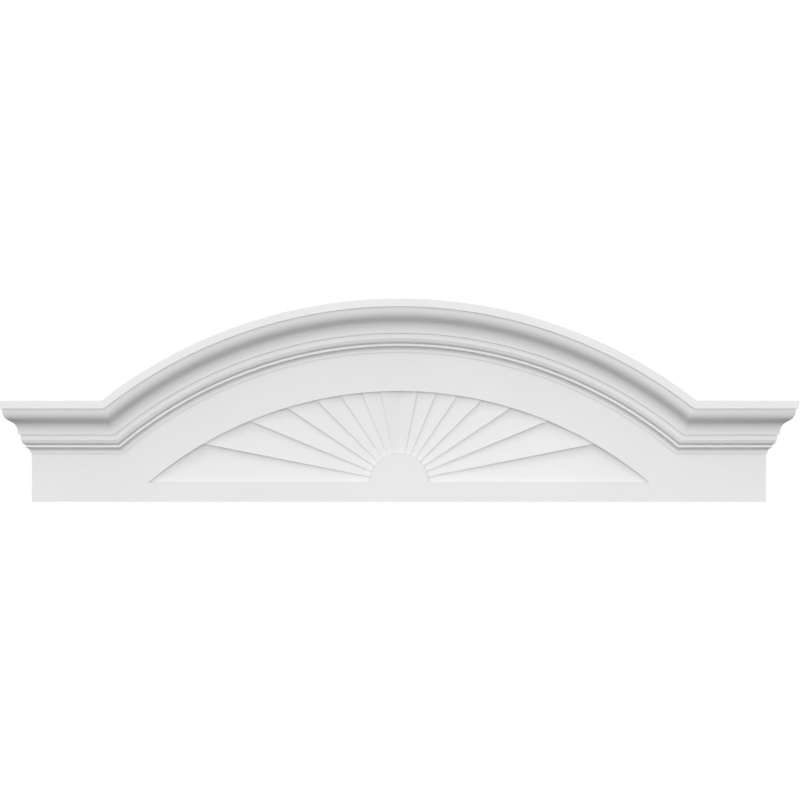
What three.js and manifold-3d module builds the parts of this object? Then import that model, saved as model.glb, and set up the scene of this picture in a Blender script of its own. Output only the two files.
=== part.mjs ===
// A segmental pediment of cellular PVC, to be fixed over a door or window.
//
// A flat board carries the whole of it. The board has two level shoulders
// (the flankers) and a segmental arch between them, and an arched opening
// with a half-round hub standing in the middle of its bottom rail. A carved
// sunburst panel fills the opening, set back from the board's face. A crown
// moulding is planted on the face along the top of the outline: one bent
// length over the arch, one straight length over each shoulder, and a mitred
// return at each end that runs back to the wall.
//
// Millimetres, +Z up. The front looks along -Y and the back lies in the plane
// y = 0, against the wall. The origin is on the back, behind the centre of
// the hub, from which the rays fan out.

import * as THREE from "three";
import { mergeVertices } from "three/addons/utils/BufferGeometryUtils.js";
import Module from "manifold-3d";

const wasm = await Module();
wasm.setup();

// ---------------------------------------------------------------- sizes, mm

const BOARD_WIDTH = 1117.6; // 44 in across the frieze
const BOARD_THICK = 25.4; // 1 in
const RAIL_HEIGHT = 29.5; // bottom edge to the bottom of the opening
const HUB_RADIUS = 44.5; // half-round hub on the rail
const FLANKER_HEIGHT = 154.1; // bottom edge to the top of the shoulders
const ARCH_RISE = 308.4; // bottom edge to the crown of the arch
const ARCH_RADIUS = 731.7; // outer edge of the arch
const OPENING_RADIUS = 591.9; // edge of the opening, on the arch's centre

const RAYS = 16; // rays in the half circle round the hub
const RAY_SETBACK = 3.5; // from the board's face to each ray's proud edge
const RAY_TILT = 8.5; // degrees that each ray leans back from that edge

const GAP = 0.3; // joint line between neighbouring pieces
const ARC_STEP = 2; // degrees in one flat of a large arc

// Crown moulding, 3 3/16 in high and 1 3/4 in deep. Each member is given by
// its drop from the top edge and its depth in front of the board's face. A
// curve is a row of knots [drop, tilt off upright in degrees].
const CROWN_HEIGHT = 80.5;
const CROWN_DEPTH = 44.45;
const TOP_FILLET = { drop: 12.2, depth: CROWN_DEPTH };
const OGEE = {
  depth: 40.9,
  knots: [
    [12.2, 2.5],
    [16, 6.5],
    [19, 13],
    [22, 21.5],
    [25, 32.5],
    [27.3, 46],
    [29.3, 59],
    [33.2, 59],
    [34.7, 48],
    [36.4, 37],
    [39, 26.5],
    [42.5, 18],
    [46.5, 10.5],
    [51.6, 3],
  ],
};
const UPPER_FILLET = { bottom: 60.1, depth: 15 };
const OVOLO = {
  depth: 13.85,
  knots: [
    [60.1, 4],
    [62, 14],
    [64, 25],
    [65.1, 43],
    [66.4, 60],
    [67.6, 68],
  ],
};
const LOWER_FILLET = { bottom: 71.1, depth: 8.4 };
const COVE = {
  knots: [
    [71.1, 66],
    [72.6, 60],
    [74.1, 41],
    [75.5, 25],
    [77, 13],
    [78.4, 6],
    [80.1, 1],
  ],
};

// ------------------------------------------------------------ derived sizes

const RAD = Math.PI / 180;
const HALF_WIDTH = BOARD_WIDTH / 2;
const FOOT_Z = -RAIL_HEIGHT;
const SHOULDER_Z = FLANKER_HEIGHT - RAIL_HEIGHT;
const CENTRE_Z = ARCH_RISE - RAIL_HEIGHT - ARCH_RADIUS; // centre of the arcs

// Distance from the middle to where the arch and a shoulder meet, at a given
// drop below the top edge of both.
const meeting = (drop) =>
  Math.sqrt((ARCH_RADIUS - drop) ** 2 - (SHOULDER_Z - drop - CENTRE_Z) ** 2);

// ------------------------------------------------------------------ helpers

const v2 = (x, y) => new THREE.Vector2(x, y);

// Points on an arc about (0, cz), from angle a0 to angle a1 in degrees
// clockwise from straight up. Between its ends it has a point at each
// multiple of the step, so that arcs on one centre share their flats.
function arc(radius, cz, a0, a1, step = ARC_STEP) {
  const at = (a) =>
    v2(radius * Math.sin(a * RAD), cz + radius * Math.cos(a * RAD));
  const dir = Math.sign(a1 - a0);
  const points = [at(a0)];
  for (
    let k = Math.floor((dir * a0) / step) + 1;
    k * step < dir * a1 - 1e-6;
    k++
  )
    if (k * step > dir * a0 + 1e-6) points.push(at(dir * k * step));
  points.push(at(a1));
  return points;
}

// A curve of a moulding's section, as points (drop, depth), one at each knot.
// Between two knots it runs as a circular arc, whose chord has their mean
// tilt: growing tilt is convex, shrinking tilt is concave.
function mouldedCurve(depth, knots) {
  const points = [v2(knots[0][0], depth)];
  for (let i = 1; i < knots.length; i++) {
    const [drop0, tilt0] = knots[i - 1],
      [drop1, tilt1] = knots[i];
    depth -= (drop1 - drop0) * Math.tan(((tilt0 + tilt1) / 2) * RAD);
    points.push(v2(drop1, depth));
  }
  return points;
}

// The crown's section as points (drop, depth), from the top of its back to
// the foot of its back. The back stands a joint's width off the board.
function crownSection() {
  const ogee = mouldedCurve(OGEE.depth, OGEE.knots);
  const ovolo = mouldedCurve(OVOLO.depth, OVOLO.knots);
  const cove = mouldedCurve(LOWER_FILLET.depth, COVE.knots);
  const foot = (curve) => curve[curve.length - 1];
  return [
    v2(0, GAP),
    v2(0, TOP_FILLET.depth),
    v2(TOP_FILLET.drop, TOP_FILLET.depth),
    ...ogee,
    v2(foot(ogee).x, UPPER_FILLET.depth),
    v2(UPPER_FILLET.bottom, UPPER_FILLET.depth),
    ...ovolo,
    v2(foot(ovolo).x, LOWER_FILLET.depth),
    ...cove,
    v2(CROWN_HEIGHT, foot(cove).y),
    v2(CROWN_HEIGHT, GAP),
  ];
}

// A flat outline of points (x, z), extruded between two depths y0 < y1.
function slab(outline, y0, y1, hole) {
  const shape = new THREE.Shape(outline);
  if (hole) shape.holes.push(new THREE.Path(hole));
  return new THREE.ExtrudeGeometry(shape, {
    depth: y1 - y0,
    bevelEnabled: false,
  })
    .rotateX(Math.PI / 2) // the outline's y becomes z, the extrusion runs to -y
    .translate(0, y1, 0);
}

// A flat outline of points (x, y), extruded between two heights.
function column(outline, z0, z1) {
  return new THREE.ExtrudeGeometry(new THREE.Shape(outline), {
    depth: z1 - z0,
    bevelEnabled: false,
  }).translate(0, 0, z0);
}

function solid(geometry) {
  const bare = geometry.clone();
  bare.deleteAttribute("normal");
  bare.deleteAttribute("uv");
  const g = mergeVertices(bare, 1e-4);
  return new wasm.Manifold(
    new wasm.Mesh({
      numProp: 3,
      vertProperties: g.attributes.position.array,
      triVerts: new Uint32Array(g.index.array),
    }),
  );
}

function geometryOf(body) {
  const m = body.getMesh(),
    n = m.numProp;
  const position = new Float32Array(m.numVert * 3);
  for (let i = 0; i < m.numVert; i++)
    position.set(m.vertProperties.subarray(i * n, i * n + 3), i * 3);
  const g = new THREE.BufferGeometry();
  g.setAttribute("position", new THREE.BufferAttribute(position, 3));
  g.setIndex(new THREE.BufferAttribute(new Uint32Array(m.triVerts), 1));
  return g;
}

// ----------------------------------------------------------------- the board

function friezeBoard() {
  const shoulderX = meeting(0);
  const archEnd = Math.asin(shoulderX / ARCH_RADIUS) / RAD;
  const outline = [
    v2(-HALF_WIDTH, FOOT_Z),
    v2(HALF_WIDTH, FOOT_Z),
    v2(HALF_WIDTH, SHOULDER_Z),
    ...arc(ARCH_RADIUS, CENTRE_Z, archEnd, -archEnd),
    v2(-HALF_WIDTH, SHOULDER_Z),
  ];
  return geometryOf(
    solid(slab(outline, -BOARD_THICK, 0, openingOutline(0, HUB_RADIUS))),
  );
}

// The opening's outline: the arch, the top of the rail, and the hub. inset
// draws it in on all sides, and hub is the radius that it leaves free.
function openingOutline(inset, hub) {
  const radius = OPENING_RADIUS - inset;
  const end = Math.acos((inset - CENTRE_Z) / radius) / RAD;
  const side = Math.acos(inset / hub) / RAD;
  return [
    ...arc(radius, CENTRE_Z, end, -end),
    ...arc(hub, 0, -side, side, RAY_ANGLE / 2),
  ];
}

// -------------------------------------------------------------- the sunburst

const RAY_ANGLE = 180 / RAYS;

// One ray of the right half, as a wedge about the hub's centre between two
// angles up from the rail. Its face starts at the setback along its lower
// edge, and leans back from there towards its upper edge.
function ray(index, mirrored) {
  const low = index * RAY_ANGLE * RAD,
    high = (index + 1) * RAY_ANGLE * RAD,
    reach = OPENING_RADIUS;
  // Rounded, so that the two middle rays meet exactly on the centre line.
  const edge = (a) =>
    v2(
      Math.round(reach * Math.cos(a) * 1e4) / 1e4,
      Math.round(reach * Math.sin(a) * 1e4) / 1e4,
    );
  const wedge = solid(
    slab(
      [v2(0, 0), edge(low), edge(high)],
      -BOARD_THICK,
      0,
    ),
  );
  // All that lies in front of the leaning face: a block hinged on the lower
  // edge and turned about it.
  const size = 2.5 * reach;
  const front = new THREE.BoxGeometry(size, size, size).translate(
    0,
    -size / 2,
    0,
  );
  front.applyMatrix4(
    new THREE.Matrix4()
      .makeTranslation(0, RAY_SETBACK - BOARD_THICK, 0)
      .multiply(new THREE.Matrix4().makeRotationY(-low))
      .multiply(new THREE.Matrix4().makeRotationX(-RAY_TILT * RAD)),
  );
  const cut = wedge.subtract(solid(front));
  return mirrored ? cut.mirror([1, 0, 0]) : cut;
}

function sunburstPanel() {
  let rays = null;
  for (const mirrored of [false, true])
    for (let i = 0; i < RAYS / 2; i++)
      rays = rays ? rays.add(ray(i, mirrored)) : ray(i, mirrored);
  const frame = solid(
    slab(openingOutline(GAP, HUB_RADIUS + GAP), -BOARD_THICK, 0),
  );
  return geometryOf(rays.intersect(frame));
}

// ----------------------------------------------------------------- the crown

// Where the mitre between the arch and a shoulder runs, as the line through
// the meetings at the crown's top and foot, moved sideways by shift.
function mitreX(z, shift = 0) {
  const top = meeting(0),
    foot = meeting(CROWN_HEIGHT);
  return top + ((z - SHOULDER_Z) * (top - foot)) / CROWN_HEIGHT + shift;
}

function crownArch() {
  // The section turned all the way round the arch's centre, as a ring, and
  // cut down to the sector between the two mitres.
  const profile = crownSection()
    .map((p) => v2(ARCH_RADIUS - p.x, -(BOARD_THICK + p.y)))
    .reverse();
  profile.push(profile[0].clone());
  const ring = solid(
    new THREE.LatheGeometry(profile, 360 / ARC_STEP).translate(0, 0, CENTRE_Z),
  );
  const high = SHOULDER_Z + 400;
  const low = SHOULDER_Z - 400;
  const sector = slab(
    [
      v2(-mitreX(low, -GAP / 2), low),
      v2(mitreX(low, -GAP / 2), low),
      v2(mitreX(high, -GAP / 2), high),
      v2(-mitreX(high, -GAP / 2), high),
    ],
    -200,
    100,
  );
  return geometryOf(ring.intersect(solid(sector)));
}

// The section as an outline, with its drop measured down from the shoulders.
const sectionOutline = () =>
  crownSection().map((p) => v2(BOARD_THICK + p.y, SHOULDER_Z - p.x));

function crownFlanker(side) {
  // The section run along x, then cut by the arch's mitre and by the 45
  // degree mitre of the return.
  const length = HALF_WIDTH + CROWN_DEPTH + 20;
  const run = new THREE.ExtrudeGeometry(new THREE.Shape(sectionOutline()), {
    depth: length,
    bevelEnabled: false,
  }).applyMatrix4(
    new THREE.Matrix4().makeBasis(
      new THREE.Vector3(0, -1, 0),
      new THREE.Vector3(0, 0, 1),
      new THREE.Vector3(-1, 0, 0),
    ),
  );
  run.translate(length, 0, 0);
  const high = SHOULDER_Z + 50,
    low = SHOULDER_Z - CROWN_HEIGHT - 50,
    far = length + 50;
  const beside = slab(
    [
      v2(mitreX(low, GAP / 2), low),
      v2(far, low),
      v2(far, high),
      v2(mitreX(high, GAP / 2), high),
    ],
    -200,
    100,
  );
  const reach = CROWN_DEPTH + 20,
    half = GAP / Math.SQRT2;
  const before = column(
    [
      v2(0, -BOARD_THICK - half),
      v2(0, -BOARD_THICK - reach),
      v2(HALF_WIDTH + reach - half, -BOARD_THICK - reach),
      v2(HALF_WIDTH - half, -BOARD_THICK),
      v2(HALF_WIDTH - 2 * reach, -BOARD_THICK + 5),
      v2(0, -BOARD_THICK + 5),
    ],
    low,
    high,
  );
  const made = solid(run)
    .intersect(solid(beside))
    .intersect(solid(before));
  return geometryOf(side < 0 ? made.mirror([1, 0, 0]) : made);
}

function crownReturn(side) {
  // The section run along y on the end of the board, from the wall to the
  // mitre at the corner.
  const reach = CROWN_DEPTH + 20,
    half = GAP / Math.SQRT2;
  const outline = crownSection().map((p) =>
    v2(HALF_WIDTH + p.y, SHOULDER_Z - p.x),
  );
  const run = slab(outline, -BOARD_THICK - reach, 0);
  const behind = column(
    [
      v2(HALF_WIDTH - 5, 5),
      v2(HALF_WIDTH - 5, -BOARD_THICK + 5 + half),
      v2(HALF_WIDTH + reach, -BOARD_THICK - reach + half),
      v2(HALF_WIDTH + reach, 5),
    ],
    SHOULDER_Z - CROWN_HEIGHT - 50,
    SHOULDER_Z + 50,
  );
  const made = solid(run).intersect(solid(behind));
  return geometryOf(side < 0 ? made.mirror([1, 0, 0]) : made);
}

// ------------------------------------------------------------- the assembly

const pediment = new THREE.Group();

function piece(name, geometry, tint) {
  const material = new THREE.MeshStandardMaterial({
    color: tint,
    roughness: 0.5,
    metalness: 0,
  });
  const mesh = new THREE.Mesh(geometry, material);
  mesh.name = name;
  return mesh;
}

pediment.add(
  piece("frieze_board", friezeBoard(), 0xf0f0ef),
  piece("sunburst_panel", sunburstPanel(), 0xf1f1f0),
);

const crown = new THREE.Group();
crown.add(piece("crown_arch", crownArch(), 0xf2f2f1));
for (const [word, side] of [
  ["left", -1],
  ["right", 1],
])
  crown.add(
    piece("crown_flanker_" + word, crownFlanker(side), 0xf2f2f1),
    piece("crown_return_" + word, crownReturn(side), 0xf2f2f1),
  );
pediment.add(crown);

export default pediment;
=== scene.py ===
"""Looks for a segmental pediment of white cellular PVC: a board with an arched
opening and a half-round hub, a carved sunburst panel set back in the opening,
and a crown moulding over the arch, over both shoulders and round both ends.

Metres, +Z up. The front faces -Y and the back lies in the plane y = 0. The
origin is on the back, behind the centre of the hub.
"""

import math

import bpy
import numpy as np
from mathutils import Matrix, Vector
from mathutils.geometry import tessellate_polygon


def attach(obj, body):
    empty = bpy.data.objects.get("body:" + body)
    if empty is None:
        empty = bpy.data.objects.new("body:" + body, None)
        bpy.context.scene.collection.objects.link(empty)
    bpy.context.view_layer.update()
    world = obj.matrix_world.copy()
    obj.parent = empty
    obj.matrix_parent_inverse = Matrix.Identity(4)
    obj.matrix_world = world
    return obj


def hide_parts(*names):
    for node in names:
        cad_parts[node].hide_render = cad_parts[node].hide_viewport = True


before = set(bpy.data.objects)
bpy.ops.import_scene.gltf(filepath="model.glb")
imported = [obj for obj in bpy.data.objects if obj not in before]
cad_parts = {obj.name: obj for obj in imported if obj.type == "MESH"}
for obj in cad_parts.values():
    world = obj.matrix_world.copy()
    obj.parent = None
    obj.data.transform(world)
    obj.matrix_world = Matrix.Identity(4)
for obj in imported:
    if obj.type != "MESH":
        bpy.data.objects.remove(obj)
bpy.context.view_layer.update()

# ------------------------------------------------------------------ sizes, m

MM = 0.001
HALF_WIDTH = 558.8 * MM
BOARD = 25.4 * MM
RAIL = 29.5 * MM
HUB_R = 44.5 * MM
SHOULDER_Z = (154.1 - 29.5) * MM
ARCH_R = 731.7 * MM
ARCH_TOP = (308.4 - 29.5) * MM
OPENING_R = 591.9 * MM
CENTRE_Z = ARCH_TOP - ARCH_R

RAYS = 16
RAY_SETBACK = 3.5 * MM
RAY_TILT = math.radians(8.5)

CROWN_H = 80.5 * MM
CROWN_D = 44.45 * MM

HAIR = 0.03 * MM  # joint line between pieces that are glued tight
ARRIS = 0.45 * MM  # softened outer corners
ROOT = 0.25 * MM  # softened inner corners


def meeting(drop):
    """Half the width between the meetings of arch and shoulders, at a drop below their top edges."""
    return math.sqrt((ARCH_R - drop) ** 2 - (SHOULDER_Z - drop - CENTRE_Z) ** 2)


# --------------------------------------------------------- sections in 2-D
# A path is a list of runs. A run is a pair of arrays, points and the tangents
# at them. Neighbouring runs meet at a corner, which is softened.


def line(p, q):
    p, q = np.array(p, float), np.array(q, float)
    t = (q - p) / np.linalg.norm(q - p)
    return np.array([p, q]), np.array([t, t])


def arc_run(cx, cy, r, a0, a1, step):
    """An arc about (cx, cy) from angle a0 to a1, counted clockwise from straight up."""
    n = max(2, int(math.ceil(abs(a1 - a0) / step)))
    a = np.linspace(a0, a1, n + 1)
    d = math.copysign(1.0, a1 - a0)
    pts = np.stack([cx + r * np.sin(a), cy + r * np.cos(a)], 1)
    tan = np.stack([np.cos(a) * d, -np.sin(a) * d], 1)
    return pts, tan


def member(drop0, depth0, drop1, tilt0, tilt1, n):
    """A moulded curve in a section of (depth, drop): its tilt off upright goes evenly from tilt0 to tilt1 on a circular arc."""
    a = np.radians(np.linspace(tilt0, tilt1, n + 1))
    s0, s1 = math.sin(a[0]), math.sin(a[-1])
    r = (drop1 - drop0) / (s1 - s0)
    drop = drop0 + r * (np.sin(a) - s0)
    depth = depth0 - r * (math.cos(a[0]) - np.cos(a))
    return np.stack([depth, drop], 1), np.stack([-np.sin(a), np.cos(a)], 1)


def cut_run(run, start, end):
    """Trims a run by the lengths start and end."""
    pts, tan = run
    seg = np.linalg.norm(np.diff(pts, axis=0), axis=1)
    s = np.concatenate([[0], np.cumsum(seg)])
    keep = (s > start + 1e-9) & (s < s[-1] - end - 1e-9)
    at = np.array([start, s[-1] - end])
    new_s = np.concatenate([[at[0]], s[keep], [at[1]]])
    p = np.stack([np.interp(new_s, s, pts[:, k]) for k in (0, 1)], 1)
    t = np.stack([np.interp(new_s, s, tan[:, k]) for k in (0, 1)], 1)
    t /= np.linalg.norm(t, axis=1)[:, None]
    return p, t


def cross(a, b):
    return a[0] * b[1] - a[1] * b[0]


def soften(runs, convex, concave, turn_sign, closed=True, radii=None, steps=5):
    """Joins runs into one path with rounded corners. turn_sign is the sign of a convex corner's turn. radii gives single corners another radius, by the number of the run that ends there."""
    n = len(runs)
    last = n if closed else n - 1
    cuts = np.zeros((n, 2))
    corners = {}
    for i in range(last):
        t0, t1 = runs[i][1][-1], runs[(i + 1) % n][1][0]
        turn = math.atan2(cross(t0, t1), float(t0 @ t1))
        if abs(turn) < math.radians(1.5):
            continue
        r = convex if turn * turn_sign > 0 else concave
        r = (radii or {}).get(i, r)
        d = r * math.tan(abs(turn) / 2)
        cuts[i, 1] = max(cuts[i, 1], d)
        cuts[(i + 1) % n, 0] = max(cuts[(i + 1) % n, 0], d)
        corners[i] = turn
    trimmed = [cut_run(r, *c) for r, c in zip(runs, cuts)]
    pts, tan = [], []
    for i, (p, t) in enumerate(trimmed):
        pts.extend(p)
        tan.extend(t)
        if i not in corners:
            if i < last:  # a smooth passage: one shared point
                pts.pop()
                tan.pop()
            continue
        q, u = trimmed[(i + 1) % n]
        turn, p0, t0, p1 = corners[i], p[-1], t[-1], q[0]
        turn = math.atan2(cross(t0, u[0]), float(t0 @ u[0]))
        chord = p1 - p0
        r = np.linalg.norm(chord) / (2 * math.sin(abs(turn) / 2))
        side = np.array([-t0[1], t0[0]]) * math.copysign(1, turn)
        centre = p0 + side * r
        m = max(2, int(math.ceil(steps * abs(turn) / (math.pi / 2))))
        for k in range(1, m):
            a = turn * k / m
            c, s = math.cos(a), math.sin(a)
            off = p0 - centre
            pts.append(centre + np.array([c * off[0] - s * off[1], s * off[0] + c * off[1]]))
            tan.append(np.array([c * t0[0] - s * t0[1], s * t0[0] + c * t0[1]]))
    return np.array(pts), np.array(tan)


def moulded_curve(depth, knots, step):
    """A curve in a section, from (depth, drop) through knots of (drop, tilt off upright). It is a circular arc between each two knots."""
    pts, tan = [], []
    for (d0, t0), (d1, t1) in zip(knots[:-1], knots[1:]):
        n = max(2, int(math.ceil((d1 - d0) / step)))
        p, t = member(d0 * MM, depth, d1 * MM, t0, t1, n) if t0 != t1 else slope(d0 * MM, depth, d1 * MM, t0, n)
        depth = p[-1][0]
        pts.append(p if not pts else p[1:])
        tan.append(t if not tan else t[1:])
    return np.concatenate(pts), np.concatenate(tan)


def slope(drop0, depth0, drop1, tilt, n):
    """A straight stretch of a section at one tilt."""
    drop = np.linspace(drop0, drop1, n + 1)
    depth = depth0 - (drop - drop0) * math.tan(math.radians(tilt))
    t = (-math.sin(math.radians(tilt)), math.cos(math.radians(tilt)))
    return np.stack([depth, drop], 1), np.tile(t, (n + 1, 1))


TOP_FILLET = 12.2 * MM
OGEE = (
    (12.2, 2.5), (16.0, 6.5), (19.0, 13.0), (22.0, 21.5), (25.0, 32.5), (27.3, 46.0), (29.3, 59.0),
    (33.2, 59.0), (34.7, 48.0), (36.4, 37.0), (39.0, 26.5), (42.5, 18.0), (46.5, 10.5), (51.6, 3.0),
)
OGEE_DEPTH = 40.9 * MM
FILLET = (15.2 * MM, 15.2 * MM, 60.1 * MM)  # depth above and below, drop of its foot
OVOLO = ((60.1, 4.0), (62.0, 14.0), (64.0, 25.0), (65.1, 43.0), (66.4, 60.0), (67.6, 68.0))
OVOLO_DEPTH = 13.85 * MM
LOW_FILLET = (8.4 * MM, 8.4 * MM, 71.1 * MM)
COVE = ((71.1, 66.0), (72.6, 60.0), (74.1, 41.0), (75.5, 25.0), (77.0, 13.0), (78.4, 6.0), (80.1, 1.0))


def crown_section():
    """The crown's section, closed, as points (depth in front of the board, drop below the top) and outward normals."""
    back = HAIR
    ogee = moulded_curve(OGEE_DEPTH, OGEE, 0.9)
    ovolo = moulded_curve(OVOLO_DEPTH, OVOLO, 0.7)
    cove = moulded_curve(LOW_FILLET[1], COVE, 0.7)
    ogee_foot, ovolo_foot, lip = (c[0][-1] for c in (ogee, ovolo, cove))
    runs = [
        line((back, 0), (CROWN_D, 0)),
        line((CROWN_D, 0), (CROWN_D, TOP_FILLET)),
        line((CROWN_D, TOP_FILLET), ogee[0][0]),
        ogee,
        line(ogee_foot, (FILLET[0], ogee_foot[1])),
        line((FILLET[0], ogee_foot[1]), (FILLET[1], FILLET[2])),
        line((FILLET[1], FILLET[2]), ovolo[0][0]),
        ovolo,
        line(ovolo_foot, (LOW_FILLET[0], ovolo_foot[1])),
        line((LOW_FILLET[0], ovolo_foot[1]), (LOW_FILLET[1], LOW_FILLET[2])),
        cove,
        line(lip, (lip[0] - 0.02 * MM, CROWN_H)),
        line((lip[0] - 0.02 * MM, CROWN_H), (back, CROWN_H)),
        line((back, CROWN_H), (back, 0)),
    ]
    small = {1: 0.08 * MM, 2: 0.12 * MM, 3: 0.06 * MM, 4: 0.1 * MM, 5: 0.05 * MM, 6: 0.12 * MM, 7: 0.05 * MM, 8: 0.1 * MM, 9: 0.2 * MM, 10: 0.1 * MM, 11: 0.05 * MM, 12: 0.1 * MM, 13: 0.1 * MM}
    pts, tan = soften(runs, ARRIS, ROOT, 1, radii=small)
    # The path runs out along the top and down the face, in (depth, drop)
    # axes, so the outside is on the side of (tangent's drop, -its depth).
    normal = np.stack([tan[:, 1], -tan[:, 0]], 1)
    return pts, normal


# ------------------------------------------------------------- mesh building


class Build:
    """Collects faces, with a normal for each corner, and makes an object."""

    def __init__(self):
        self.co, self.faces, self.normals, self.mats, self.uvs = [], [], [], [], []

    def add(self, points):
        start = len(self.co)
        self.co.extend(np.asarray(points, float).reshape(-1, 3))
        return start

    def face(self, idx, normals, mat=0, uv=None):
        self.faces.append(tuple(int(i) for i in idx))
        self.normals.append([tuple(float(c) for c in n) for n in normals])
        self.mats.append(mat)
        self.uvs.append(uv if uv is not None else [(0.0, 0.0)] * len(idx))

    def grid(self, index, normal, mat=0, uv=None, flip=False, wrap=False):
        """Quads over an array of vertex numbers, rows by columns, with a normal for each."""
        rows, cols = index.shape
        for i in range(rows if wrap else rows - 1):
            i2 = (i + 1) % rows
            for j in range(cols - 1):
                q = [(i, j), (i, j + 1), (i2, j + 1), (i2, j)]
                if flip:
                    q.reverse()
                ids = [index[a] for a in q]
                if len(set(ids)) < 3:
                    continue
                u = None
                if uv is not None:
                    u = [uv(a[0] if a[0] != i2 or i2 > i else rows, a[1]) for a in q]
                self.face(ids, [normal[a] for a in q], mat, u)

    def object(self, name, materials):
        mesh = bpy.data.meshes.new(name)
        mesh.from_pydata([tuple(c) for c in self.co], [], self.faces)
        for m in materials:
            mesh.materials.append(m)
        mesh.polygons.foreach_set("material_index", self.mats)
        mesh.polygons.foreach_set("use_smooth", [True] * len(self.faces))
        layer = mesh.uv_layers.new(name="run")
        flat = [c for face in self.uvs for uv in face for c in uv]
        layer.data.foreach_set("uv", flat)
        mesh.normals_split_custom_set([n for f in self.normals for n in f])
        mesh.validate(clean_customdata=False)
        mesh.update()
        obj = bpy.data.objects.new(name, mesh)
        bpy.context.scene.collection.objects.link(obj)
        return obj


def polygon_faces(build, loops, lift, normal, mat, uv_of=None):
    """Fills a flat outline with holes. loops hold (vertex number, (u, v)) in order."""
    flat = [[Vector((u, v, 0)) for _, (u, v) in loop] for loop in loops]
    ids = [i for loop in loops for i, _ in loop]
    uvs = [uv for loop in loops for _, uv in loop]
    for a, b, c in tessellate_polygon(flat):
        pa, pb, pc = (np.array(build.co[ids[k]]) for k in (a, b, c))
        n = np.cross(pb - pa, pc - pa)
        tri = (a, b, c) if n @ np.array(normal) > 0 else (a, c, b)
        build.face([ids[k] for k in tri], [normal] * 3, mat, [uvs[k] for k in tri])


def sweep(name, place, stations, materials, along, cap_normals):
    """The crown's section carried through stations. place(station, depth, drop) gives a point and the frame's two axes
    there, for depth and for drop.
    """
    pts, nrm = crown_section()
    build = Build()
    n = len(pts)
    girth = np.concatenate([[0], np.cumsum(np.linalg.norm(np.diff(np.vstack([pts, pts[:1]]), axis=0), axis=1))])
    index = np.zeros((n, len(stations)), int)
    normal = np.empty((n, len(stations)), object)
    for j, s in enumerate(stations):
        for i in range(n):
            p, (ax, ay) = place(s, pts[i][0], pts[i][1])
            index[i, j] = build.add([p])
            v = ax * nrm[i][0] + ay * nrm[i][1]
            normal[i, j] = v / np.linalg.norm(v)
    p = [np.array(build.co[index[a]]) for a in ((3, 0), (3, 1), (4, 1))]
    flip = np.cross(p[1] - p[0], p[2] - p[0]) @ normal[3, 0] < 0
    build.grid(index, normal, 0, uv=lambda i, j: (along(stations[j]), girth[i]), flip=flip, wrap=True)
    for j, out in ((0, cap_normals[0]), (len(stations) - 1, cap_normals[1])):
        loop = [(index[i, j], tuple(pts[i])) for i in range(n)]
        polygon_faces(build, [loop], None, out, 1)
    return build.object(name, materials)


# ---------------------------------------------------------------- materials


def pvc(name, tint, rough, streak, grain, bump, cut=False):
    """White cellular PVC with a satin skin. streak is the strength of fine lines along a moulding's run, grain that of a slight orange peel, and cut shows the pores of a sawn or routed surface."""
    mat = bpy.data.materials.new(name)
    mat.use_nodes = True
    nt = mat.node_tree
    nodes, links = nt.nodes, nt.links
    bsdf = nodes["Principled BSDF"]
    bsdf.inputs["IOR"].default_value = 1.5
    bsdf.inputs["Specular IOR Level"].default_value = 0.9

    def node(kind, **values):
        n = nodes.new(kind)
        for k, v in values.items():
            setattr(n, k, v)
        return n

    tex = node("ShaderNodeTexCoord")
    # Broad, very faint clouding of the white, as of a hand-wiped sheet.
    cloud = node("ShaderNodeTexNoise")
    cloud.inputs["Scale"].default_value = 7.0
    cloud.inputs["Detail"].default_value = 3.0
    links.new(tex.outputs["Object"], cloud.inputs["Vector"])
    # Orange peel of the calendered skin, or the pores of a cut face.
    peel = node("ShaderNodeTexNoise")
    peel.inputs["Scale"].default_value = 420.0 if not cut else 900.0
    peel.inputs["Detail"].default_value = 2.0
    links.new(tex.outputs["Object"], peel.inputs["Vector"])
    # Lines drawn along the run of a moulding by its die or cutter.
    stretch = node("ShaderNodeMapping")
    stretch.inputs["Scale"].default_value = (3.0, 900.0, 1.0)
    links.new(tex.outputs["UV"], stretch.inputs["Vector"])
    lines = node("ShaderNodeTexNoise")
    lines.inputs["Scale"].default_value = 1.0
    lines.inputs["Detail"].default_value = 2.0
    links.new(stretch.outputs["Vector"], lines.inputs["Vector"])

    ramp = node("ShaderNodeValToRGB")
    lo = [c * 0.978 for c in tint]
    hi = [min(1.0, c * 1.012) for c in tint]
    ramp.color_ramp.elements[0].position = 0.3
    ramp.color_ramp.elements[0].color = (*lo, 1)
    ramp.color_ramp.elements[1].position = 0.7
    ramp.color_ramp.elements[1].color = (*hi, 1)
    links.new(cloud.outputs["Fac"], ramp.inputs["Fac"])
    links.new(ramp.outputs["Color"], bsdf.inputs["Base Color"])

    spread = node("ShaderNodeMapRange")
    spread.inputs["From Min"].default_value = 0.3
    spread.inputs["From Max"].default_value = 0.7
    spread.inputs["To Min"].default_value = rough - 0.05
    spread.inputs["To Max"].default_value = rough + 0.05
    links.new(peel.outputs["Fac"], spread.inputs["Value"])
    links.new(spread.outputs["Result"], bsdf.inputs["Roughness"])

    first = node("ShaderNodeBump")
    first.inputs["Strength"].default_value = grain
    first.inputs["Distance"].default_value = bump
    links.new(peel.outputs["Fac"], first.inputs["Height"])
    second = node("ShaderNodeBump")
    second.inputs["Strength"].default_value = streak
    second.inputs["Distance"].default_value = 0.00004
    links.new(lines.outputs["Fac"], second.inputs["Height"])
    links.new(first.outputs["Normal"], second.inputs["Normal"])
    links.new(second.outputs["Normal"], bsdf.inputs["Normal"])
    return mat


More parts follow.
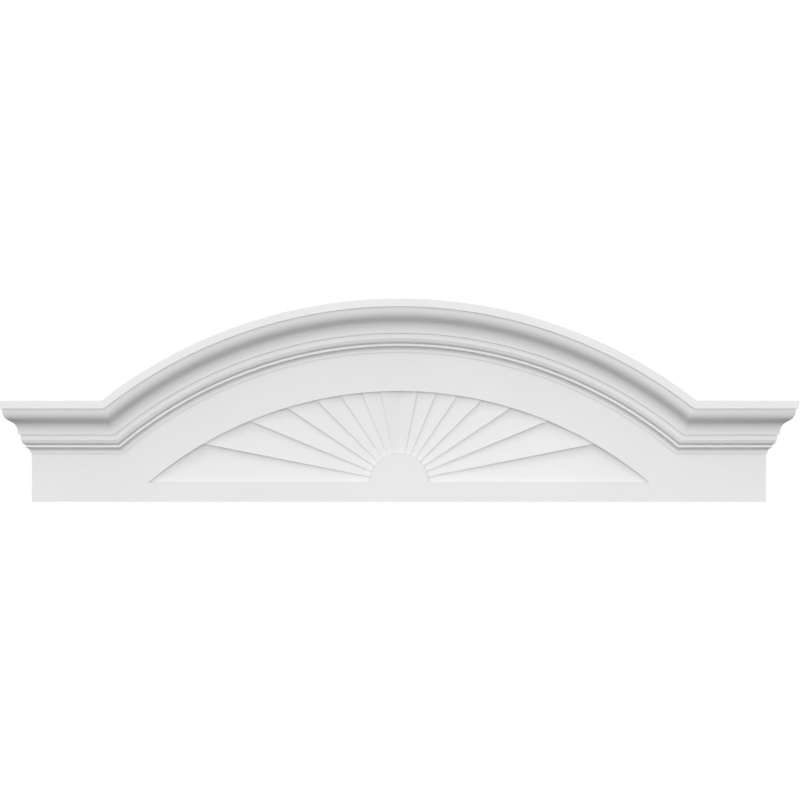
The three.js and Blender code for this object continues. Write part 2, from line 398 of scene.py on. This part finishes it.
WHITE = (0.70, 0.70, 0.70)
CUT_WHITE = (0.69, 0.69, 0.69)
board_face = pvc("pvc_board_skin", WHITE, 0.55, 0.0, 0.12, 0.00003)
board_edge = pvc("pvc_cut_edge", CUT_WHITE, 0.66, 0.0, 0.3, 0.00006, cut=True)
# The opening's routed edge is a darker grey than the other cut edges. This is painted shade: it dims the light that
# this ledge throws back on the recessed sunburst panel.
opening_edge_painted_shade = pvc("pvc_opening_edge_painted_shade", (0.60, 0.60, 0.60), 0.75, 0.0, 0.3, 0.00006, cut=True)
carved = pvc("pvc_routed", WHITE, 0.55, 0.0, 0.12, 0.00003)
moulded = pvc("pvc_moulding_skin", WHITE, 0.55, 0.25, 0.1, 0.00003)

# ---------------------------------------------------------------- the board


def offset_loop(pts, nrm, inset):
    return pts - nrm * inset


def slab_with_edges(build, loops, y_front, y_back, arris, back_arris, face_mat, edge_mats, back_mat):
    """A board of any outline, with holes. Each loop has points (x, z) and outward normals, away from the material. Its edges are softened on the front and the back."""
    front_loops, back_loops = [], []
    for (pts, nrm), edge_mat in zip(loops, edge_mats):
        levels = []
        steps = 4
        for k in range(steps + 1):  # from the front face round to the edge
            a = math.pi / 2 * k / steps
            levels.append((arris * (1 - math.sin(a)), y_front + arris * (1 - math.cos(a)), math.sin(a), -math.cos(a)))
        for k in range(steps + 1):
            a = math.pi / 2 * k / steps
            levels.append((back_arris * (1 - math.cos(a)), y_back - back_arris * (1 - math.sin(a)), math.cos(a), math.sin(a)))
        n = len(pts)
        index = np.zeros((n, len(levels)), int)
        normal = np.empty((n, len(levels)), object)
        for j, (inset, y, side, out) in enumerate(levels):
            q = offset_loop(pts, nrm, inset)
            for i in range(n):
                index[i, j] = build.add([(q[i][0], y, q[i][1])])
                normal[i, j] = np.array([nrm[i][0] * side, out, nrm[i][1] * side])
        p = [np.array(build.co[index[a]]) for a in ((0, 4), (0, 5), (1, 5))]
        flip = np.cross(p[1] - p[0], p[2] - p[0]) @ normal[0, 4] < 0
        girth = np.concatenate([[0], np.cumsum(np.linalg.norm(np.diff(np.vstack([pts, pts[:1]]), axis=0), axis=1))])
        build.grid(index, normal, edge_mat, uv=lambda i, j: (girth[i], levels[j][1]), flip=flip, wrap=True)
        front_loops.append([(index[i, 0], tuple(offset_loop(pts, nrm, levels[0][0])[i])) for i in range(n)])
        back_loops.append([(index[i, -1], tuple(offset_loop(pts, nrm, levels[-1][0])[i])) for i in range(n)])
    polygon_faces(build, front_loops, None, (0, -1, 0), face_mat)
    polygon_faces(build, back_loops, None, (0, 1, 0), back_mat)


def board_outline():
    end = math.asin(meeting(0) / ARCH_R)
    step = math.radians(0.4)
    runs = [
        line((HALF_WIDTH, -RAIL), (-HALF_WIDTH, -RAIL)),
        line((-HALF_WIDTH, -RAIL), (-HALF_WIDTH, SHOULDER_Z)),
        line((-HALF_WIDTH, SHOULDER_Z), (-meeting(0), SHOULDER_Z)),
        arc_run(0, CENTRE_Z, ARCH_R, -end, end, step),
        line((meeting(0), SHOULDER_Z), (HALF_WIDTH, SHOULDER_Z)),
        line((HALF_WIDTH, SHOULDER_Z), (HALF_WIDTH, -RAIL)),
    ]
    pts, tan = soften(runs, 0.7 * MM, 0.7 * MM, -1)
    return pts, np.stack([-tan[:, 1], tan[:, 0]], 1)


def opening_outline(inset=0.0, radius=0.7 * MM):
    """The opening, clockwise, with normals that point out of the board's material into the opening."""
    r = OPENING_R - inset
    hub = HUB_R + inset
    end = math.acos((inset - CENTRE_Z) / r)
    side = math.acos(inset / hub)
    x = r * math.sin(end)
    runs = [
        arc_run(0, CENTRE_Z, r, -end, end, math.radians(0.4)),
        line((x, inset), (hub * math.sin(side), inset)),
        arc_run(0, 0, hub, side, -side, math.radians(2.5)),
        line((-hub * math.sin(side), inset), (-x, inset)),
    ]
    pts, tan = soften(runs, radius, radius, -1)
    return pts, np.stack([tan[:, 1], -tan[:, 0]], 1)


def make_board():
    build = Build()
    slab_with_edges(
        build, [board_outline(), opening_outline()],
        -BOARD, 0.0, 0.05 * MM, 0.3 * MM, 0, (1, 2), 0,
    )
    return build.object("frieze_board_visual", [board_face, board_edge, opening_edge_painted_shade])


# ------------------------------------------------------------- the sunburst


def make_sunburst():
    """The panel's face is drawn as straight lines from the hub to the arch. Each has a place at both ends, a depth below the board's face, and a normal."""
    build = Build()
    clear = 0.03 * MM  # joint line along the rail and round the hub
    r0 = HUB_R + clear
    r_arch = OPENING_R - 0.005 * MM
    wedge = math.pi / RAYS
    tan_t = math.tan(RAY_TILT)
    soft = 0.07 * MM
    lap = 0.2 * MM  # each ray's edge stands a hair over the ray below
    parts = 14  # lines across one ray
    radial = 10

    def to_arch(p, d):
        """Distance from p along d to the opening's edge."""
        q = np.array([p[0], p[1] - CENTRE_Z])
        b = float(q @ d)
        return -b + math.sqrt(b * b - float(q @ q) + r_arch**2)

    columns = []  # (start, end, depth at start, depth at end, normal, kind)
    for side in (1, -1):
        run = []
        for k in range(RAYS // 2):
            low = k * wedge
            along = np.array([math.cos(low), math.sin(low)])
            across = np.array([-math.sin(low), math.cos(low)])
            along_off = clear if k == 0 else -lap  # the lowest line lies just over the rail
            face_n = (across * math.sin(RAY_TILT), -math.cos(RAY_TILT))
            # The softened proud edge, from the upright wall round to the face.
            turn = math.pi / 2 + RAY_TILT
            steps = 4
            r = soft if k else 0.01 * MM  # crisp along the rail
            for i in range(steps + 1):
                a = turn * i / steps
                # centre of the small round lies r inside both the wall and the face
                w = along_off + r - r * math.cos(a)
                n_side, n_out = -math.cos(a), -math.sin(a)
                depth = RAY_SETBACK + r * (1 + math.sin(RAY_TILT)) / math.cos(RAY_TILT) - r * math.sin(a)
                run.append(("edge", low, along, across, w, depth, (across * n_side, n_out), i == 0, k))
            for i in range(1, parts + 1):
                th = low + wedge * i / parts
                if i == parts and k < RAYS // 2 - 1:  # the foot of the next ray's wall
                    th = (k + 1) * wedge
                    run.append(
                        ("foot", th, np.array([math.cos(th), math.sin(th)]), np.array([-math.sin(th), math.cos(th)]), -lap, None, face_n, False, k)
                    )
                else:
                    run.append(("face", th, along, across, None, None, face_n, False, k))
        columns.append((side, run))

    def ends(col):
        kind, th, along, across, w, depth, n, first, k = col
        if kind in ("edge", "foot"):
            p0 = along * math.sqrt(max(r0 * r0 - w * w, 0)) + across * w
            q = across * w
            p1 = q + along * to_arch(q, along)
            if kind == "edge":
                return p0, p1, depth, depth
            own = np.array([-math.sin(k * wedge), math.cos(k * wedge)])
            return p0, p1, RAY_SETBACK + float(p0 @ own) * tan_t, RAY_SETBACK + float(p1 @ own) * tan_t
        d = np.array([math.cos(th), math.sin(th)])
        p0 = d * r0
        p1 = d * to_arch(np.zeros(2), d)
        low = k * wedge
        d0 = RAY_SETBACK + r0 * math.sin(th - low) * tan_t
        d1 = RAY_SETBACK + np.linalg.norm(p1) * math.sin(th - low) * tan_t
        return p0, p1, d0, d1

    # All lines in order from the right end round to the left end. The left
    # half mirrors the right, and both share the line up the middle.
    ordered = []
    for side, run in columns:
        cols = []
        for c in run:
            p0, p1, d0, d1 = ends(c)
            n = c[6]
            cols.append(
                dict(
                    p0=(p0[0] * side, p0[1]), p1=(p1[0] * side, p1[1]), d0=d0, d1=d1,
                    n=np.array([n[0][0] * side, n[1], n[0][1]]), k=c[8], side=side, first=c[7], kind=c[0],
                )
            )
        ordered.append(cols)
    right, left = ordered
    left = left[::-1]

    def lay(col):
        ids = []
        for j in range(radial + 1):
            s = j / radial
            x = col["p0"][0] * (1 - s) + col["p1"][0] * s
            z = col["p0"][1] * (1 - s) + col["p1"][1] * s
            d = col["d0"] * (1 - s) + col["d1"] * s
            ids.append(build.add([(x, -BOARD + d, z)]))
        return ids

    seq = []
    for c in right:
        seq.append((c, lay(c)))
    middle = seq[-1][1]
    for c in left:
        if c is left[0]:
            seq.append((c, middle))  # the shared line, with the left half's normal
        else:
            seq.append((c, lay(c)))

    for (ca, ia), (cb, ib) in zip(seq[:-1], seq[1:]):
        if ia is ib:
            continue
        same_ray = ca["side"] == cb["side"] and ca["k"] == cb["k"]
        if same_ray:
            na, nb = ca["n"], cb["n"]
        else:  # the upright wall between two rays
            c = cb if cb["first"] else ca
            na = nb = c["n"]
        for j in range(radial):
            q = [ia[j], ib[j], ib[j + 1], ia[j + 1]]
            nn = [na, nb, nb, na]
            p = [np.array(build.co[v]) for v in q]
            g = np.cross(p[1] - p[0], p[2] - p[0]) + np.cross(p[2] - p[0], p[3] - p[0])
            if g @ (na + nb) < 0:
                q, nn = q[::-1], nn[::-1]
            build.face(q, nn, 0, [(build.co[v][0], build.co[v][2]) for v in q])

    # The sides, down to the back. Lines one above the other share a back corner.
    def rim(j, outward):
        tops = []
        for c, ids in seq:
            if tops and tops[-1] == ids[j]:
                continue
            tops.append(ids[j])
        groups = []
        for v in tops:
            x, _, z = build.co[v]
            if groups and math.hypot(groups[-1]["x"] - x, groups[-1]["z"] - z) < 1e-7:
                groups[-1]["v"].append(v)
            else:
                groups.append({"x": x, "z": z, "v": [v]})
        for g in groups:
            g["b"] = build.add([(g["x"], 0.0, g["z"])])
            g["v"].sort(key=lambda v: build.co[v][1])  # front one first
        return groups

    def rim_faces(a, b, va, vb, n_a, n_b):
        """One strip of side wall. va and vb are the tops that the strip runs between."""
        def chain(g, v):
            return [w for w in g["v"] if build.co[w][1] > build.co[v][1] + 1e-12]
        poly = [va] + [vb] + chain(b, vb) + [b["b"]] + [a["b"]] + chain(a, va)[::-1]
        n = np.array(n_a) + np.array(n_b)
        pts = np.array([build.co[v] for v in poly])
        area = sum(np.cross(pts[i] - pts[0], pts[i + 1] - pts[0]) for i in range(1, len(poly) - 1))
        norm = {va: n_a, vb: n_b, b["b"]: n_b, a["b"]: n_a}
        order = poly if area @ n > 0 else poly[::-1]
        build.face(order, [norm.get(v, n_b if v in b["v"] else n_a) for v in order], 1, [(build.co[v][0] + build.co[v][2], build.co[v][1]) for v in order])

    for j, inward in ((radial, False), (0, True)):
        groups = rim(j, not inward)
        where = {v: gi for gi, g in enumerate(groups) for v in g["v"]}
        tops = []
        for c, ids in seq:
            if not tops or tops[-1] != ids[j]:
                tops.append(ids[j])
        for va, vb in zip(tops[:-1], tops[1:]):
            a, b = groups[where[va]], groups[where[vb]]
            if a is b:
                continue
            def out(g):
                if inward:
                    v = np.array([-g["x"], 0, -g["z"]])
                else:
                    v = np.array([g["x"], 0, g["z"] - CENTRE_Z])
                return v / np.linalg.norm(v)
            rim_faces(a, b, va, vb, out(a), out(b))
        if inward:
            hub_groups = groups
        else:
            arch_groups = groups

    # The two straight bottom walls, and the back.
    for idx in (0, -1):
        ids = seq[idx][1]
        g0, g1 = hub_groups[idx], arch_groups[idx]
        poly = list(ids) + [g1["b"], g0["b"]]
        n = np.array([0, 0, -1.0])
        pts = np.array([build.co[v] for v in poly])
        area = sum(np.cross(pts[i] - pts[0], pts[i + 1] - pts[0]) for i in range(1, len(poly) - 1))
        order = poly if area @ n > 0 else poly[::-1]
        build.face(order, [n] * len(order), 1)
    loop = [(g["b"], (g["x"], g["z"])) for g in arch_groups] + [(g["b"], (g["x"], g["z"])) for g in hub_groups[::-1]]
    polygon_faces(build, [loop], None, (0, 1, 0), 1)
    return build.object("sunburst_panel_visual", [carved, board_edge])


# ---------------------------------------------------------------- the crown


def make_arch():
    stations = np.linspace(-1, 1, 181)

    def place(s, depth, drop):
        r = ARCH_R - drop
        end = math.asin(meeting(drop) / r) - HAIR / 2 / r
        a = end * s
        p = np.array([r * math.sin(a), -BOARD - depth, CENTRE_Z + r * math.cos(a)])
        return p, (np.array([0, -1.0, 0]), np.array([-math.sin(a), 0, -math.cos(a)]))

    top, foot = meeting(0), meeting(CROWN_H)
    n = np.array([CROWN_H, 0, -(top - foot)])
    n /= np.linalg.norm(n)
    return sweep(
        "crown_arch_visual", place, stations, [moulded, board_edge],
        lambda s: s * 0.48, (n * [-1, 1, 1], n),
    )


def make_flanker(side):
    def place(s, depth, drop):
        inner = meeting(drop) + HAIR / 2
        outer = HALF_WIDTH + depth - HAIR / 2
        x = inner + (outer - inner) * s
        p = np.array([side * x, -BOARD - depth, SHOULDER_Z - drop])
        return p, (np.array([0, -1.0, 0]), np.array([0, 0, -1.0]))

    top, foot = meeting(0), meeting(CROWN_H)
    n = np.array([-CROWN_H * side, 0, top - foot])
    n /= np.linalg.norm(n)
    m = np.array([side, 1.0, 0]) / math.sqrt(2)
    word = "left" if side < 0 else "right"
    return sweep(
        f"crown_flanker_{word}_visual", place, np.linspace(0, 1, 9), [moulded, board_edge],
        lambda s: s * 0.15, (n, m),
    )


def make_return(side):
    def place(s, depth, drop):
        y0 = -BOARD - depth + HAIR / 2
        y = y0 * (1 - s)
        p = np.array([side * (HALF_WIDTH + depth), y, SHOULDER_Z - drop])
        return p, (np.array([side, 0.0, 0]), np.array([0, 0, -1.0]))

    m = np.array([-side, -1.0, 0]) / math.sqrt(2)
    word = "left" if side < 0 else "right"
    return sweep(
        f"crown_return_{word}_visual", place, np.linspace(0, 1, 5), [moulded, board_edge],
        lambda s: s * 0.07, (m, np.array([0, 1.0, 0])),
    )


pieces = [
    (make_board(), "frieze_board", "pvc_board"),
    (make_sunburst(), "sunburst_panel", "pvc_carved"),
    (make_arch(), "crown_arch", "pvc_moulding"),
    (make_flanker(-1), "crown_flanker_left", "pvc_moulding"),
    (make_flanker(1), "crown_flanker_right", "pvc_moulding"),
    (make_return(-1), "crown_return_left", "pvc_moulding"),
    (make_return(1), "crown_return_right", "pvc_moulding"),
]
for obj, node, slot in pieces:
    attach(obj, "root")
    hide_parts(node)

# ------------------------------------------------------------ floor and light

floor_mesh = bpy.data.meshes.new("floor")
F = 3.0
floor_z = -0.56
floor_mesh.from_pydata(
    [(-F, -F, floor_z), (F, -F, floor_z), (F, F, floor_z), (-F, F, floor_z)], [], [(0, 1, 2, 3)]
)
floor = bpy.data.objects.new("floor", floor_mesh)
bpy.context.scene.collection.objects.link(floor)
fmat = bpy.data.materials.new("floor_pale")
fmat.use_nodes = True
fb = fmat.node_tree.nodes["Principled BSDF"]
fb.inputs["Base Color"].default_value = (0.9, 0.9, 0.9, 1)
fb.inputs["Roughness"].default_value = 0.9
fb.inputs["Specular IOR Level"].default_value = 0.0
floor_mesh.materials.append(fmat)
# Seen from below, the floor lets the view through.
fnodes, flinks = fmat.node_tree.nodes, fmat.node_tree.links
side_seen = fnodes.new("ShaderNodeNewGeometry")
through = fnodes.new("ShaderNodeBsdfTransparent")
either = fnodes.new("ShaderNodeMixShader")
flinks.new(side_seen.outputs["Backfacing"], either.inputs["Fac"])
flinks.new(fb.outputs["BSDF"], either.inputs[1])
flinks.new(through.outputs["BSDF"], either.inputs[2])
flinks.new(either.outputs["Shader"], fnodes["Material Output"].inputs["Surface"])
floor.visible_diffuse = False
floor.visible_glossy = False
floor.visible_shadow = False

world = bpy.data.worlds.new("studio")
bpy.context.scene.world = world
world.use_nodes = True
wn, wl = world.node_tree.nodes, world.node_tree.links
background = wn["Background"]
coords = wn.new("ShaderNodeTexCoord")
# Soft boxes without hard edges: a large one in front, one right overhead, and
# weaker ones between them on both sides, stronger on the left. Each is an
# aim, a strength and a sharpness.
LIGHTS = (
    ((0.0, -1.0, 0.0), 4.92, 12.0),
    ((0.51, -0.69, 0.51), 1.14, 12.0),
    ((-0.51, -0.69, 0.51), 0.92, 12.0),
    ((-0.47, -0.34, 0.81), 1.32, 12.0),
    ((0.0, -0.03, 1.0), 4.94, 12.0),
    ((-0.87, -0.03, 0.50), 1.45, 12.0),
    ((0.0, 1.0, 0.1), 3.2, 12.0),  # from here on, from behind: next to nothing of it falls on the front
    ((0.8, 0.6, 0.1), 3.2, 16.0),
    ((-0.8, 0.6, 0.1), 2.4, 16.0),
)
total = None
for aim, strength, sharpness in LIGHTS:
    dot = wn.new("ShaderNodeVectorMath")
    dot.operation = "DOT_PRODUCT"
    dot.inputs[1].default_value = Vector(aim).normalized()
    wl.new(coords.outputs["Generated"], dot.inputs[0])
    facing = wn.new("ShaderNodeMath")
    facing.operation = "MAXIMUM"
    facing.inputs[1].default_value = 0.0
    wl.new(dot.outputs["Value"], facing.inputs[0])
    falloff = wn.new("ShaderNodeMath")
    falloff.operation = "POWER"
    falloff.inputs[1].default_value = sharpness
    wl.new(facing.outputs["Value"], falloff.inputs[0])
    scaled = wn.new("ShaderNodeMath")
    scaled.operation = "MULTIPLY_ADD"
    scaled.inputs[1].default_value = strength
    scaled.inputs[2].default_value = 0.0
    wl.new(falloff.outputs["Value"], scaled.inputs[0])
    if total is not None:
        wl.new(total, scaled.inputs[2])
    total = scaled.outputs["Value"]
wl.new(total, background.inputs["Strength"])
plain = wn.new("ShaderNodeBackground")
plain.inputs["Color"].default_value = (1, 1, 1, 1)
plain.inputs["Strength"].default_value = 1.0
background.inputs["Color"].default_value = (1, 1, 1, 1)
mix = wn.new("ShaderNodeMixShader")
path = wn.new("ShaderNodeLightPath")
wl.new(path.outputs["Is Camera Ray"], mix.inputs["Fac"])
wl.new(background.outputs["Background"], mix.inputs[1])
wl.new(plain.outputs["Background"], mix.inputs[2])
wl.new(mix.outputs["Shader"], wn["World Output"].inputs["Surface"])

# ---------------------------------------------------------------- the camera

EYE = 4.93  # from the board's face
FRAME_WIDTH = 1.2181  # what the frame spans there
cam_data = bpy.data.cameras.new("camera")
cam_data.sensor_width = 36.0
cam_data.lens = 36.0 * EYE / FRAME_WIDTH
cam_data.clip_start = 0.1
cam_data.clip_end = 100
camera = bpy.data.objects.new("camera", cam_data)
camera.location = (0.0016, -BOARD - EYE, 0.1255)
camera.rotation_euler = (math.pi / 2, 0, 0)
bpy.context.scene.collection.objects.link(camera)
bpy.context.scene.camera = camera

scene = bpy.context.scene
scene.view_settings.view_transform = "Standard"
scene.view_settings.look = "None"
scene.view_settings.exposure = 0.0
scene.view_settings.gamma = 1.0
